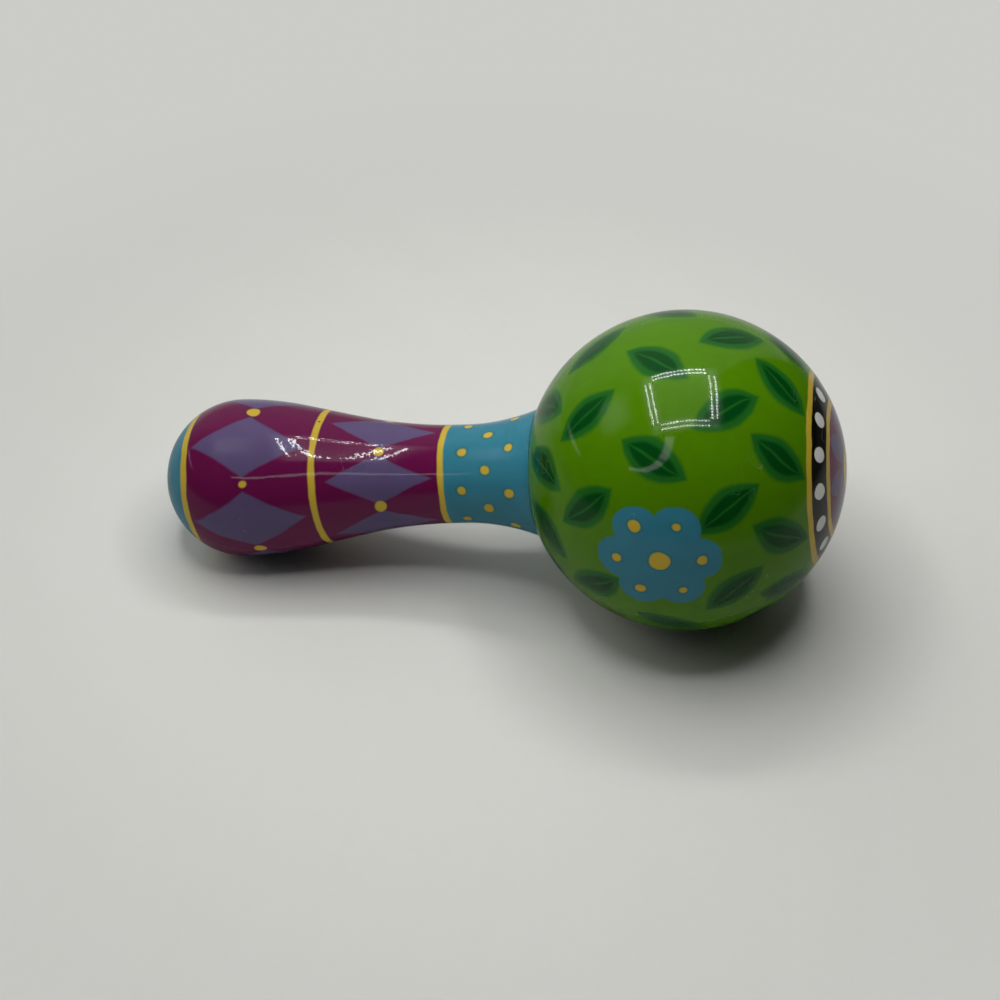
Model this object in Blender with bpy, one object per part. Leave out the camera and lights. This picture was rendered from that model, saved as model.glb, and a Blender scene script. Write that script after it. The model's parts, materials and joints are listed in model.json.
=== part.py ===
"""A turned wooden shaker: a hollow ball in two lapped halves, a handle tenoned into it, and loose pellets.

The shaker lies on its side on the plane z = 0, touching it with the ball and with the bulb of the handle.
+X runs from the butt of the handle to the ball, +Z is up, and the origin is the middle of the object's
footprint. The turned pieces are drawn as half profiles (radius, height) along the lathe axis, whose height is
zero at the middle of the ball and grows towards the front of the ball, and are then spun about that axis.
"""

import math

import bmesh
import bpy
from mathutils import Euler, Vector

MM = 0.001

# Ball
BALL_DIAMETER = 62.0 * MM
WALL = 4.5 * MM
LIP_LENGTH = 3.0 * MM
LIP_THICKNESS = 2.0 * MM
LIP_CHAMFER = 0.4 * MM

# Handle
OVERALL_LENGTH = 137.0 * MM
BULB_DIAMETER = 32.0 * MM
NECK_DIAMETER = 19.6 * MM
NECK_STANDOFF = 12.6 * MM
FLARE_RADIUS = 41.5 * MM
BUTT_FLAT_DIAMETER = 5.0 * MM
TENON_DIAMETER = 12.0 * MM
TENON_REACH = 1.5 * MM
TENON_CHAMFER = 0.8 * MM

# Above 1, the waist stays slim for longer before it swells to the bulb
WAIST_POWER = 1.2

# Pellets
PELLET_DIAMETER = 5.0 * MM
PELLET_SPACING = 0.6 * MM
PELLET_RINGS = 2

# Gap left for glue between the wooden pieces, and between a resting pellet and the wall under it
CLEARANCE = 0.3 * MM

# Facets
BALL_SIDES = 48
HANDLE_SIDES = 40
DOME_STEPS = 12
FLARE_STEPS = 8
WAIST_STEPS = 12
BUTT_STEPS = 9
SEAT_STEPS = 3
PELLET_SIDES = 12
PELLET_BANDS = 8
SHARP_ANGLE = math.radians(40.0)
MERGE_DISTANCE = 0.001 * MM

# Worked out from the sizes above
BALL_RADIUS = BALL_DIAMETER / 2
CHAMBER_RADIUS = BALL_RADIUS - WALL
LIP_RADIUS = CHAMBER_RADIUS + LIP_THICKNESS
BULB_RADIUS = BULB_DIAMETER / 2
NECK_RADIUS = NECK_DIAMETER / 2
TENON_RADIUS = TENON_DIAMETER / 2
SOCKET_RADIUS = TENON_RADIUS + CLEARANCE
SEAT_RADIUS = BALL_RADIUS + CLEARANCE
PELLET_RADIUS = PELLET_DIAMETER / 2
NECK_HEIGHT = -(BALL_RADIUS + NECK_STANDOFF)
BULB_HEIGHT = -(OVERALL_LENGTH - BALL_RADIUS - BULB_RADIUS)

# The floor touches the ball and the round butt, so the axis rises towards the ball by this angle
LEAN = math.asin((BALL_RADIUS - BULB_RADIUS) / -BULB_HEIGHT)
BALL_CENTRE = Vector((
    (BULB_RADIUS - BALL_RADIUS - BULB_HEIGHT * math.cos(LEAN)) / 2,
    0.0,
    BALL_RADIUS,
))


def clear_scene():
    """Removes whatever the open file holds."""
    for old in list(bpy.data.objects):
        bpy.data.objects.remove(old)


def finish_material(name, colour, roughness):
    """A Principled material of one colour, for paint or bare wood."""
    material = bpy.data.materials.new(name)
    material.use_nodes = True
    shader = material.node_tree.nodes["Principled BSDF"]
    shader.inputs["Base Color"].default_value = (*colour, 1.0)
    shader.inputs["Roughness"].default_value = roughness
    shader.inputs["Metallic"].default_value = 0.0
    return material


def place(name, mesh, material, parent=None):
    """Links a mesh into the scene as a smooth-shaded object."""
    mesh.shade_smooth()
    mesh.set_sharp_from_angle(angle=SHARP_ANGLE)
    if not mesh.materials:
        mesh.materials.append(material)
    piece = bpy.data.objects.new(name, mesh)
    bpy.context.scene.collection.objects.link(piece)
    piece.parent = parent
    return piece


def arc(centre, radius, start, end, steps):
    """Points on a circle in the profile's plane, from the start angle to the end angle, both included.

    An angle is measured from the outward radius towards the front of the ball.
    """
    turn = (end - start) / steps
    angles = [start + turn * step for step in range(steps + 1)]
    return [
        (centre[0] + radius * math.cos(a), centre[1] + radius * math.sin(a))
        for a in angles
    ]


def sphere_height(radius, distance):
    """Height of a sphere's front half at that distance from the lathe axis."""
    return math.sqrt(radius * radius - distance * distance)


def turned(name, profile, sides, closed):
    """A solid of revolution: the profile is spun about the lathe axis in equal facets.

    The profile starts half a facet round, so that the lying shaker rests on a flat facet and not on an edge.
    A closed profile is a ring's section, and an open one starts and ends on the axis.
    """
    mesh = bpy.data.meshes.new(name)
    work = bmesh.new()
    lead = math.pi / sides
    section = [
        work.verts.new((r * math.cos(lead), r * math.sin(lead), z)) for r, z in profile
    ]
    pairs = list(zip(section, section[1:]))
    if closed:
        pairs.append((section[-1], section[0]))
    edges = [work.edges.new(pair) for pair in pairs]
    bmesh.ops.spin(
        work,
        geom=section + edges,
        cent=(0, 0, 0),
        axis=(0, 0, 1),
        angle=math.tau,
        steps=sides,
        use_merge=True,
    )
    bmesh.ops.remove_doubles(work, verts=work.verts[:], dist=MERGE_DISTANCE)
    bmesh.ops.recalc_face_normals(work, faces=work.faces[:])
    work.to_mesh(mesh)
    work.free()
    return mesh


def flare_rim_angle():
    """Angle on the flare's arc where it meets the sphere of the seat.

    The arc's centre lies beside the narrowest point of the neck. The rim is where the two circles cross, on
    the side that faces the ball.
    """
    across = NECK_RADIUS + FLARE_RADIUS
    apart = math.hypot(across, NECK_HEIGHT)
    to_ball = math.atan2(-NECK_HEIGHT, -across)
    cosine = (FLARE_RADIUS**2 + apart**2 - SEAT_RADIUS**2) / (2 * FLARE_RADIUS * apart)
    return to_ball + math.acos(cosine)


def handle_profile():
    """Tenon, hollow seat, flare, waist and butt, from the tenon's end to the flat on the butt."""
    tenon_end = -(CHAMBER_RADIUS - TENON_REACH)
    flare_centre = (NECK_RADIUS + FLARE_RADIUS, NECK_HEIGHT)
    flare = arc(flare_centre, FLARE_RADIUS, flare_rim_angle(), math.pi, FLARE_STEPS)
    rim_radius, rim_height = flare[0]
    seat = arc(
        (0.0, 0.0),
        SEAT_RADIUS,
        -math.acos(TENON_RADIUS / SEAT_RADIUS),
        math.atan2(rim_height, rim_radius),
        SEAT_STEPS,
    )
    mean = (BULB_RADIUS + NECK_RADIUS) / 2
    swing = (BULB_RADIUS - NECK_RADIUS) / 2
    waist = []
    for step in range(1, WAIST_STEPS):
        share = step / WAIST_STEPS
        waist.append((
            mean - swing * math.cos(math.pi * share**WAIST_POWER),
            NECK_HEIGHT + (BULB_HEIGHT - NECK_HEIGHT) * share,
        ))
    flat_angle = math.acos(BUTT_FLAT_DIAMETER / 2 / BULB_RADIUS)
    butt = arc((0.0, BULB_HEIGHT), BULB_RADIUS, 0.0, -flat_angle, BUTT_STEPS)
    return [
        (0.0, tenon_end),
        (TENON_RADIUS - TENON_CHAMFER, tenon_end),
        (TENON_RADIUS, tenon_end - TENON_CHAMFER),
        *seat,
        *flare[1:],
        *waist,
        *butt,
        (0.0, butt[-1][1]),
    ]


def rear_shell_profile():
    """Section of the bored half, round its outer wall, seam face, lip, chamber wall and socket."""
    outer = arc(
        (0.0, 0.0), BALL_RADIUS, -math.acos(SOCKET_RADIUS / BALL_RADIUS), 0.0, DOME_STEPS
    )
    inner = arc(
        (0.0, 0.0),
        CHAMBER_RADIUS,
        0.0,
        -math.acos(SOCKET_RADIUS / CHAMBER_RADIUS),
        DOME_STEPS,
    )
    return [
        *outer,
        (LIP_RADIUS, 0.0),
        (LIP_RADIUS, LIP_LENGTH - LIP_CHAMFER),
        (LIP_RADIUS - LIP_CHAMFER, LIP_LENGTH),
        (CHAMBER_RADIUS, LIP_LENGTH),
        *inner,
    ]


def front_shell_profile():
    """Section of the closed half, from the outside of its pole over the rabbet to the inside."""
    seam = CLEARANCE
    shoulder = LIP_LENGTH + CLEARANCE
    rabbet_radius = LIP_RADIUS + CLEARANCE
    outer = arc((0.0, 0.0), BALL_RADIUS, math.pi / 2, math.asin(seam / BALL_RADIUS), DOME_STEPS)
    inner = arc(
        (0.0, 0.0),
        CHAMBER_RADIUS,
        math.asin(shoulder / CHAMBER_RADIUS),
        math.pi / 2,
        DOME_STEPS,
    )
    return [
        *outer,
        (rabbet_radius, seam),
        (rabbet_radius, shoulder),
        *inner,
    ]


def pellet_spots():
    """Plan positions of the pellets about the ball's centre: a hexagonal patch, ring by ring outwards."""
    pitch = PELLET_DIAMETER + PELLET_SPACING
    spots = []
    for row in range(-PELLET_RINGS, PELLET_RINGS + 1):
        for column in range(-PELLET_RINGS, PELLET_RINGS + 1):
            ring = max(abs(row), abs(column), abs(row + column))
            if ring <= PELLET_RINGS:
                x = pitch * (column + row / 2)
                y = pitch * row * math.sqrt(3) / 2
                spots.append((ring, round(math.atan2(y, x), 6), x, y))
    return [(x, y) for _, _, x, y in sorted(spots)]


def pellet_mesh():
    """One rattle bead about its own centre."""
    mesh = bpy.data.meshes.new("pellet")
    work = bmesh.new()
    bmesh.ops.create_uvsphere(
        work, u_segments=PELLET_SIDES, v_segments=PELLET_BANDS, radius=PELLET_RADIUS
    )
    work.to_mesh(mesh)
    work.free()
    return mesh


def make_wooden_pieces():
    """Handle and ball halves, on an empty that holds the lathe axis as the shaker lies."""
    axis = bpy.data.objects.new("lathe_axis", None)
    bpy.context.scene.collection.objects.link(axis)
    axis.location = BALL_CENTRE
    axis.rotation_euler = Euler((0.0, math.pi / 2 - LEAN, 0.0))
    place(
        "handle",
        turned("handle", handle_profile(), HANDLE_SIDES, closed=False),
        finish_material("purple_lacquer", (0.16, 0.02, 0.075), 0.22),
        axis,
    )
    place(
        "rear_shell",
        turned("rear_shell", rear_shell_profile(), BALL_SIDES, closed=True),
        finish_material("green_lacquer", (0.12, 0.29, 0.01), 0.2),
        axis,
    )
    place(
        "front_shell",
        turned("front_shell", front_shell_profile(), BALL_SIDES, closed=False),
        finish_material("green_lacquer_front", (0.12, 0.29, 0.01), 0.2),
        axis,
    )


def make_pellets():
    """Pellets at rest on the lowest part of the chamber, each with its origin on its own upright track."""
    mesh = pellet_mesh()
    bare_wood = finish_material("bare_beech", (0.55, 0.36, 0.19), 0.55)
    reach = CHAMBER_RADIUS - CLEARANCE - PELLET_RADIUS
    for number, (x, y) in enumerate(pellet_spots(), start=1):
        drop = sphere_height(reach, math.hypot(x, y))
        pellet = place(f"pellet_{number:02d}", mesh, bare_wood)
        pellet.location = BALL_CENTRE + Vector((x, y, -drop))
        print(f"{pellet.name} can rise {2 * drop / MM:.2f} mm to the roof of the chamber")


def main():
    clear_scene()
    make_wooden_pieces()
    make_pellets()


main()
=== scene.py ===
"""Looks of a painted wooden shaker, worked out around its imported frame.

The turned pieces are surfaces of revolution about the lathe axis. Their profiles are drawn in
(radius, height), where height is zero at the middle of the ball and grows towards its front. Patterns
are painted in the same lathe coordinates, in millimetres.
"""

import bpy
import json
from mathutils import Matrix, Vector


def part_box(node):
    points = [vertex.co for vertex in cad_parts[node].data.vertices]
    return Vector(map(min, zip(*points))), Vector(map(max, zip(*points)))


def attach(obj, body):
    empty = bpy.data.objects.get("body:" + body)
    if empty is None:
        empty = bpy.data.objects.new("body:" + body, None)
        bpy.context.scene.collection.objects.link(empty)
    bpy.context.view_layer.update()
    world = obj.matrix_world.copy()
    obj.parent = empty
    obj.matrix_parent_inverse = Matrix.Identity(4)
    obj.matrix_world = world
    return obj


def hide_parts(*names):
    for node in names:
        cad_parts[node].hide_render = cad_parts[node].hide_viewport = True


bl_info = {
    "name": "Painted wooden shaker",
    "version": (1, 0, 0),
    "blender": (4, 5, 0),
    "location": "3D View > Sidebar > Shaker",
    "description": "Makes the painted handle and ball, the beech pellets and a pale stage for them",
    "category": "Object",
}

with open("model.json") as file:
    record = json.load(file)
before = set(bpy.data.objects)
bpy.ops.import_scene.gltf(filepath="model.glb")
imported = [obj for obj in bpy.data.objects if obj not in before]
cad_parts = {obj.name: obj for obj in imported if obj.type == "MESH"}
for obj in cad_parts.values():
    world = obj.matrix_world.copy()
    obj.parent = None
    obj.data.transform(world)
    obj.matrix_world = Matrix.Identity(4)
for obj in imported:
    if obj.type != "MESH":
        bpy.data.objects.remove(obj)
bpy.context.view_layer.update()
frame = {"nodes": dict(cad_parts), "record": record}  # meshes by name and record of the imported shaker

import json
import math

import bpy
import numpy as np
from bpy.props import FloatProperty, FloatVectorProperty, PointerProperty
from mathutils import Matrix, Vector

MM = 0.001

# The lathe axis lies square to the flat on the butt, and the chamber's box is centred in the ball
MOUNTS = {mount["name"]: mount for mount in frame["record"]["mounts"]}
CHAMBER_BOX = np.array(frame["record"]["physics"]["openings"][0]["box_m"])
BALL_CENTRE = CHAMBER_BOX.mean(axis=0)
LATHE_AHEAD = -np.array(MOUNTS["butt_flat"]["axis"])
LATHE_SIDE = np.array((0.0, 1.0, 0.0))
LATHE_DOWN = np.cross(LATHE_SIDE, LATHE_AHEAD)
LATHE_TURN = math.atan2(LATHE_AHEAD[0], LATHE_AHEAD[2])

# Facets of the turned pieces and of the pellets
BALL_SIDES = 320
HANDLE_SIDES = 224
OUTSIDE_STEPS = 80
INSIDE_STEPS = 40
FLARE_STEPS = 36
WAIST_STEPS = 84
BUTT_STEPS = 44
SEAT_STEPS = 8
SEAM_CROWDING = 1.5
PELLET_SIDES = 28
PELLET_BANDS = 16
SHARP_ANGLE = math.radians(35.0)
PAINTED, BARE = 0, 1

# Slow waves in the lacquer: how many, how much their lengths differ, and the seed of their directions
RIPPLE_WAVES = 9
RIPPLE_SPREAD = (0.7, 1.4)
RIPPLE_SEED = 7

# Turned pellets: how oval and how wavy they are, and the seed of their turns
PELLET_OVAL = 0.012
PELLET_WAVY = 0.010
PELLET_SEED = 19

# Painter's brush: how far it drifts and how much the radius of a dot differs, in millimetres
BALL_DRIFT, HANDLE_DRIFT = 0.55, 0.5
DRIFT_NOISE = {"Scale": 0.16, "Detail": 2.0, "Roughness": 0.45}
DOT_TOUCH = 0.8
TOUCH_NOISE = {"Scale": 0.21, "Detail": 0.0}
HALO_STRENGTH = 0.45

# Places of motifs round the lathe axis are in parts of their own spacing, other sizes of the paint in
# millimetres. An edge is the pair of values between which a colour comes in.
# Leaves on the ball, in rows at these angles from its front
LEAVES = 10
LEAF_SHIFT = 0.278
LEAF_ROWS = tuple(math.radians(row) for row in (49.0, 68.5, 93.0, 118.5, 141.0))
LEAF_LENGTH, LEAF_WIDTH = 7.2, 3.6
LEAF_LEAN = math.radians(34.0)
LEAF_EDGE, LEAF_HEART_EDGE = (-0.6, 0.6), (0.95, 1.9)
RIB_REACH, RIB_WIDTH, RIB_STRENGTH = 0.72, 0.32, 0.85
RIB_EDGE = (-0.16, 0.10)

# Flowers on the sides of the ball, with a dot on each petal and one in the middle
FLOWERS = 2
FLOWER_AT = math.radians(93.0)
PETALS = 6
PETAL_AT, PETAL_RADIUS, FLOWER_MIDDLE = 7.2, 4.5, 5.2
PETAL_DOT_AT, PETAL_DOT, MIDDLE_DOT = 8.0, 0.9, 2.0
PETAL_EDGE, FLOWER_HALO_EDGE, FLOWER_DOT_EDGE = (-0.25, 0.25), (-0.55, 0.0), (-0.15, 0.25)

# Rosette at the front of the ball, ring by ring outwards, with its petals and its ring of dots
ROSETTE_DISC, ROSETTE_RING, ROSETTE_BAND = (4.3, 4.7), (12.4, 12.8), (13.8, 14.1)
ROSETTE_RIM, ROSETTE_END = (18.5, 18.8), (20.3, 19.9)
ROSETTE_PETALS = 8
ROSETTE_PETAL_AT, ROSETTE_PETAL_LENGTH, ROSETTE_PETAL_WIDTH = 8.7, 3.5, 2.5
ROSETTE_PETAL_EDGE = (-0.06, 0.08)
ROSETTE_DOTS = 14
ROSETTE_DOT_AT = 16.3
ROSETTE_DOT_EDGE = (1.65, 1.4)

# Paint of the neck where it runs onto the ball, with a wavy edge
NECK_WAVE, NECK_WAVE_TURN = 1.1, 0.4
NECK_PAINT_EDGE = (82.9, 83.6)

# Handle, measured back from the middle of the ball. A row of lozenges is its place, its half length, its
# half width in radians and its shift. A ring is where it begins, where it ends and how soft it is.
LOZENGES = 6
LOZENGE_ROWS = ((85.0, 11.6, 0.43, 0.0), (58.8, 10.4, 0.45, 0.5))
LOZENGE_SHIFT = 0.12
LOZENGE_EDGE, LOZENGE_DOT_EDGE = (-0.05, 0.06), (1.2, 0.8)
MIDDLE_RING, NECK_RING, BUTT_RING = (71.1, 72.3, 0.18), (46.0, 47.2, 0.18), (97.5, 99.0, 0.2)
NECK_EDGE, BUTT_EDGE = (46.4, 46.0), (98.6, 99.0)
NECK_DOTS = 8
NECK_DOT_ROWS = (42.2, 37.4, 32.6)
NECK_HALO_EDGE, NECK_DOT_EDGE = (1.5, 0.95), (1.1, 0.7)

# Gloss lacquer: brush mottling, dust specks, hairline scratches in patches, and orange peel
LACQUER_IOR = 1.42
BALL_PEEL, HANDLE_PEEL = 0.006 * MM, 0.015 * MM
BALL_ROUGHNESS, HANDLE_ROUGHNESS = 0.048, 0.022
PEEL_NOISE = {"Scale": 0.7, "Detail": 2.0}
MOTTLE_NOISE = {"Scale": 0.22, "Detail": 5.0}
MOTTLE_SHADE, MOTTLE_ROUGHNESS = 0.2, 0.015
DUST_SCALE = 0.085
DUST_EDGE, DUST_CHOICE = (0.030, 0.015), (0.62, 0.64)
DUST_COLOUR, DUST_STRENGTH = (0.012, 0.012, 0.010, 1.0), 0.8
SCRATCH_TURN, SCRATCH_STRETCH = (0.4, 0.9, 0.3), (0.30, 0.02, 0.30)
SCRATCH_EDGE = (0.004, 0.001)
SCRATCH_PATCH_SCALE, SCRATCH_PATCH = 0.05, (0.56, 0.62)
SCRATCH_COLOUR, SCRATCH_STRENGTH = (0.55, 0.55, 0.52, 1.0), 0.12
SCRATCH_ROUGHNESS = 0.15

# Bare beech: grain and short flecks, both drawn out along the lathe axis
GRAIN_STRETCH, FLECK_STRETCH = (1.0, 1.0, 0.09), (2.6, 2.6, 0.45)
GRAIN_NOISE = {"Scale": 0.9, "Detail": 5.0}
GRAIN_EDGE, FLECK_EDGE = (0.42, 0.68), (0.22, 0.10)
GRAIN_STRENGTH, FLECK_STRENGTH = 0.8, 0.7
GRAIN_DEPTH, GRAIN_BUMP = 0.05 * MM, 0.6
BEECH_ROUGHNESS, GRAIN_ROUGHNESS = 0.55, 0.15

# Picture and camera
PICTURE_PIXELS = 1000
SENSOR_WIDTH = 36.0
CLIP_START = 0.01

# Floor: its share of its own colour to the camera, its weave, and the distances between which a plain pale
# ground takes its place
FLOOR_HALF = 6.0
FLOOR_SEEN = 0.79
FLOOR_ROUGHNESS = 0.75
WEAVE_NOISE = {"Scale": 350.0, "Detail": 4.0}
WEAVE_SHADE = 0.03
LIT_FLOOR = (0.09, 0.19)
PALE = (0.60, 0.60, 0.575, 1.0)

# What the gloss shows of the floor and of the pale wall behind it, as shares of the plain pale ground
# Painted shade: in the gloss the floor is darker in front of the shaker and far from it than behind it
FLOOR_IN_FRONT, FLOOR_BEHIND = 0.35, 0.63
FAR_FLOOR, FAR_FLOOR_BEHIND = 0.07, 0.47
FAR_FROM = (0.16, 0.38)
FLOOR_LEFT_EDGE, FLOOR_BEHIND_EDGE = (-0.02, 0.05), (-0.03, 0.06)
WALL_LEFT, WALL_LEFT_EDGE = (-0.883, 0.469, 0.0), (-0.03, 0.05)
WALL_BEHIND, WALL_BEHIND_EDGE = (0.3, 0.95, 0.0), (-0.2, 0.5)
WALL_LEVEL, WALL_BRIGHTER_ABOVE = 0.8, (0.0, 0.0, 0.4)

# Lamp frame: two rows of equal bars with open corners, the brightness of its right, back, left and front
# sides, and beads of light that show in the gloss
LAMP_SIDES = (0.79, 1.08, 0.82, 0.6)
LAMP_ROWS = (0.0, 0.0148)
LAMP_WIDTH = 0.0031
LAMP_CORNER = 0.012
LAMP_BEADS = 16
BEAD_EDGE = (0.35, 0.15)
GLINT_WIDTH = 0.0032
GLINT_DROP = 0.001

# Ceiling round the lamp frame, as a share of the frame's side, and the board that the bars are on, as
# shares of the ceiling's half side and of its brightness
CEILING_SHARE = 1.3
CEILING_FADE = (1.0, 0.6)
BOARD_FROM, BOARD_TO, BOARD_SOFT = 0.58, 0.84, 0.12
BOARD_BRIGHTER = 2.3

# Soft panel to the left, and below it the pale crease where the wall begins
PANEL_AT = (-0.138, -0.008, 0.190)
PANEL_SIZE = (0.135, 0.12)
CREASE_AT = (-0.380, 0.014, 0.104)
CREASE_SIZE = (0.24, 0.024)
CREASE_TILT = math.radians(8.0)
SOFT_FADE = (0.5, 0.08)

# Pale arc beside the camera: its middle, radius and width, where it runs, its ends as cosines and its
# break as sines of the angle along it
ARC_AT = (-0.1335, -0.0773, 0.20)
ARC_RADIUS = 0.1368
ARC_WIDTH = 0.019
ARC_MIDDLE = math.radians(-51.5)
ARC_HALF = math.radians(48.5)
ARC_SOFT = ARC_WIDTH / 5
ARC_ENDS = (math.cos(ARC_HALF * 1.02), math.cos(ARC_HALF * 0.98))
ARC_BREAK, ARC_BREAK_DEPTH = (0.24, 0.33, 0.03), 0.75

# Sides of the room: where each one is, how narrow it is, and its share of the room light
ROOM_COLOUR = (1.0, 1.0, 0.98, 1.0)
ROOM_SIDES = (
    ((-0.65, -0.07, 0.756), 12.0, 1.35),
    ((-0.65, 0.62, 0.44), 6.0, 1.0),
    ((0.0, 0.62, 0.78), 4.0, 0.2),
)


def length_setting(name, description, default, precision=4):
    """A size in metres that the user may change."""
    return FloatProperty(
        name=name, description=description, default=default, unit="LENGTH", precision=precision)


def colour_setting(name, description, default):
    """A colour that the user may change."""
    return FloatVectorProperty(
        name=name, description=description, default=(*default, 1.0), subtype="COLOR", size=4)


class ShakerSizes(bpy.types.PropertyGroup):
    """Sizes of the wooden pieces."""

    ball_diameter: length_setting(
        "Ball diameter", "Outside of the ball, which rests on the floor", 2 * BALL_CENTRE[2])
    wall: length_setting("Wall", "Thickness of the ball's shell", 4.5 * MM)
    lip_length: length_setting(
        "Lip length", "How far the lap of the seam reaches into the front half", 3.0 * MM)
    lip_thickness: length_setting("Lip thickness", "Thickness of the lap of the seam", 2.0 * MM)
    lip_chamfer: length_setting("Lip chamfer", "Broken edge of the lap", 0.4 * MM)
    overall_length: length_setting(
        "Overall length", "From the round of the butt to the front of the ball", 137.0 * MM)
    bulb_diameter: length_setting("Bulb diameter", "Thickest part of the handle", 32.0 * MM)
    neck_diameter: length_setting("Neck diameter", "Thinnest part of the handle", 19.6 * MM)
    neck_standoff: length_setting(
        "Neck standoff", "From the ball's surface to the thinnest part of the neck", 12.6 * MM)
    flare_radius: length_setting(
        "Flare radius", "Hollow curve of the neck where it widens towards the ball", 41.5 * MM)
    waist_power: FloatProperty(
        name="Waist power", default=1.2,
        description="Above 1, the waist stays slim for longer before it swells to the bulb")
    butt_flat_diameter: length_setting("Butt flat diameter", "Small flat left by turning", 5.0 * MM)
    tenon_diameter: length_setting("Tenon diameter", "Peg that is glued into the ball", 12.0 * MM)
    tenon_reach: length_setting("Tenon reach", "How far the tenon stands into the chamber", 1.5 * MM)
    tenon_chamfer: length_setting("Tenon chamfer", "Broken edge of the tenon", 0.8 * MM)
    clearance: length_setting("Clearance", "Gap for glue round the tenon and the lap", 0.3 * MM)
    lacquer_gap: length_setting(
        "Lacquer gap", "What is left of the gap between ball and handle under the lacquer", 0.04 * MM, 5)
    ripple_height: length_setting(
        "Ripple height", "Height of the slow waves in the lacquer", 0.010 * MM, 6)
    ripple_length: length_setting("Ripple length", "Length of the slow waves in the lacquer", 9.0 * MM)
    pellet_flattening: FloatProperty(
        name="Pellet flattening", description="How much a pellet's height falls short of its diameter",
        default=0.06, subtype="FACTOR")


class ShakerColours(bpy.types.PropertyGroup):
    """Colours of the paints, of the bare wood and of the floor."""

    ball_green: colour_setting("Ball green", "Ground of the ball", (0.062, 0.176, 0.001))
    leaf_green: colour_setting("Leaf green", "Soft outer part of a leaf", (0.011, 0.10, 0.011))
    leaf_heart: colour_setting("Leaf heart", "Dark middle of a leaf", (0.0015, 0.048, 0.006))
    turquoise: colour_setting("Turquoise", "Flowers, neck and butt", (0.032, 0.175, 0.245))
    yellow: colour_setting("Yellow", "Rings and dots", (0.50, 0.355, 0.035))
    purple: colour_setting("Purple", "Ground of the handle", (0.11, 0.006, 0.05))
    lavender: colour_setting("Lavender", "Lozenges and petals", (0.093, 0.066, 0.151))
    black: colour_setting("Black", "Ring round the rosette", (0.004, 0.004, 0.003))
    white: colour_setting("White", "Dots on the black ring", (0.62, 0.62, 0.59))
    beech: colour_setting("Beech", "Bare wood inside the ball", (0.56, 0.37, 0.20))
    beech_grain: colour_setting("Beech grain", "Darker streaks of the bare wood", (0.40, 0.23, 0.11))
    floor: colour_setting("Floor", "Pale floor", (0.82, 0.82, 0.782))


class ShakerStage(bpy.types.PropertyGroup):
    """Camera and light."""

    azimuth: FloatProperty(
        name="Azimuth", description="Camera's turn about the upright, from looking along +Y",
        default=math.radians(8.97), unit="ROTATION")
    elevation: FloatProperty(
        name="Elevation", description="Camera's angle above the floor",
        default=math.radians(43.91), unit="ROTATION")
    focal_pixels: FloatProperty(
        name="Focal length in pixels", description="Focal length measured in pixels of the picture",
        default=1900.0)
    ball_pixel: FloatVectorProperty(
        name="Ball in the picture", description="Pixel where the middle of the ball shows",
        size=2, default=(684.5, 470.0))
    ball_pixel_radius: FloatProperty(
        name="Ball's radius in the picture", description="Radius of the ball in pixels", default=159.6)
    lamp_height: FloatProperty(
        name="Lamp height", description="Height of the lamp frame above the ball's centre",
        default=0.25, unit="LENGTH")
    lamp_side: FloatProperty(
        name="Lamp side", description="Side of the square lamp frame", default=0.187, unit="LENGTH")
    lamp_offset: FloatVectorProperty(
        name="Lamp offset", description="Place of the lamp frame beside the ball's centre",
        size=2, default=(-0.0261, 0.0074), unit="LENGTH")
    lamp_turn: FloatProperty(
        name="Lamp turn", description="Turn of the lamp frame about the upright",
        default=math.radians(12.0), unit="ROTATION")
    lamp_power: FloatProperty(
        name="Lamp power", description="Power of the whole lamp frame", default=0.82, unit="POWER")
    room_light: FloatProperty(
        name="Room light", description="Brightness of the pale sides of the room", default=1.1)
    lamp_glint: FloatProperty(
        name="Lamp glint", description="Brightness of the lamp frame in the gloss", default=53.0)
    wall_glint: FloatProperty(
        name="Wall glint", description="Brightness of the pale wall behind in the gloss", default=0.25)
    ceiling_glint: FloatProperty(
        name="Ceiling glint", description="Brightness inside the lamp frame in the gloss", default=0.36)
    panel_glint: FloatProperty(
        name="Panel glint", description="Brightness of the soft panel in the gloss", default=0.8)
    crease_glint: FloatProperty(
        name="Crease glint", description="Brightness of the pale crease in the gloss", default=1.1)
    arc_glint: FloatProperty(
        name="Arc glint", description="Brightness of the arc beside the camera in the gloss", default=1.9)


def arc_rows(centre, radius, angles, lift):
    """Profile rows on a circle: centre + radius (cos a, sin a) for each angle a from the outward radius.

    A row is (radius, height, outward radius, outward height). The last two are the direction in which the
    lacquer lies on the wood: lift times the circle's own outward direction, and zero on bare wood.
    """
    outward = np.column_stack([np.cos(angles), np.sin(angles)])
    return np.hstack([np.array(centre) + radius * outward, lift * outward])


def bare_rows(*points):
    """Profile rows at corners of bare wood."""
    return np.hstack([np.array(points), np.zeros((len(points), 2))])


def seam_angles(end):
    """Angles from the seam at zero to the end, closest together at the seam so that it doesn't show."""
    return end * np.linspace(0.0, 1.0, OUTSIDE_STEPS + 1) ** SEAM_CROWDING


def ripple(points, sizes):
    """Height of the lacquer's slow waves.

    It is the sum of sines along seeded random directions through space, over the root of their number.
    """
    draw = np.random.default_rng(RIPPLE_SEED)
    directions = draw.normal(size=(RIPPLE_WAVES, 3))
    directions /= np.linalg.norm(directions, axis=1, keepdims=True)
    lengths = sizes.ripple_length * draw.uniform(*RIPPLE_SPREAD, size=RIPPLE_WAVES)
    phases = draw.uniform(0.0, math.tau, size=RIPPLE_WAVES)
    waves = np.sin(points @ (directions * (math.tau / lengths)[:, None]).T + phases)
    return sizes.ripple_height * waves.sum(axis=-1) / math.sqrt(RIPPLE_WAVES)


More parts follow.
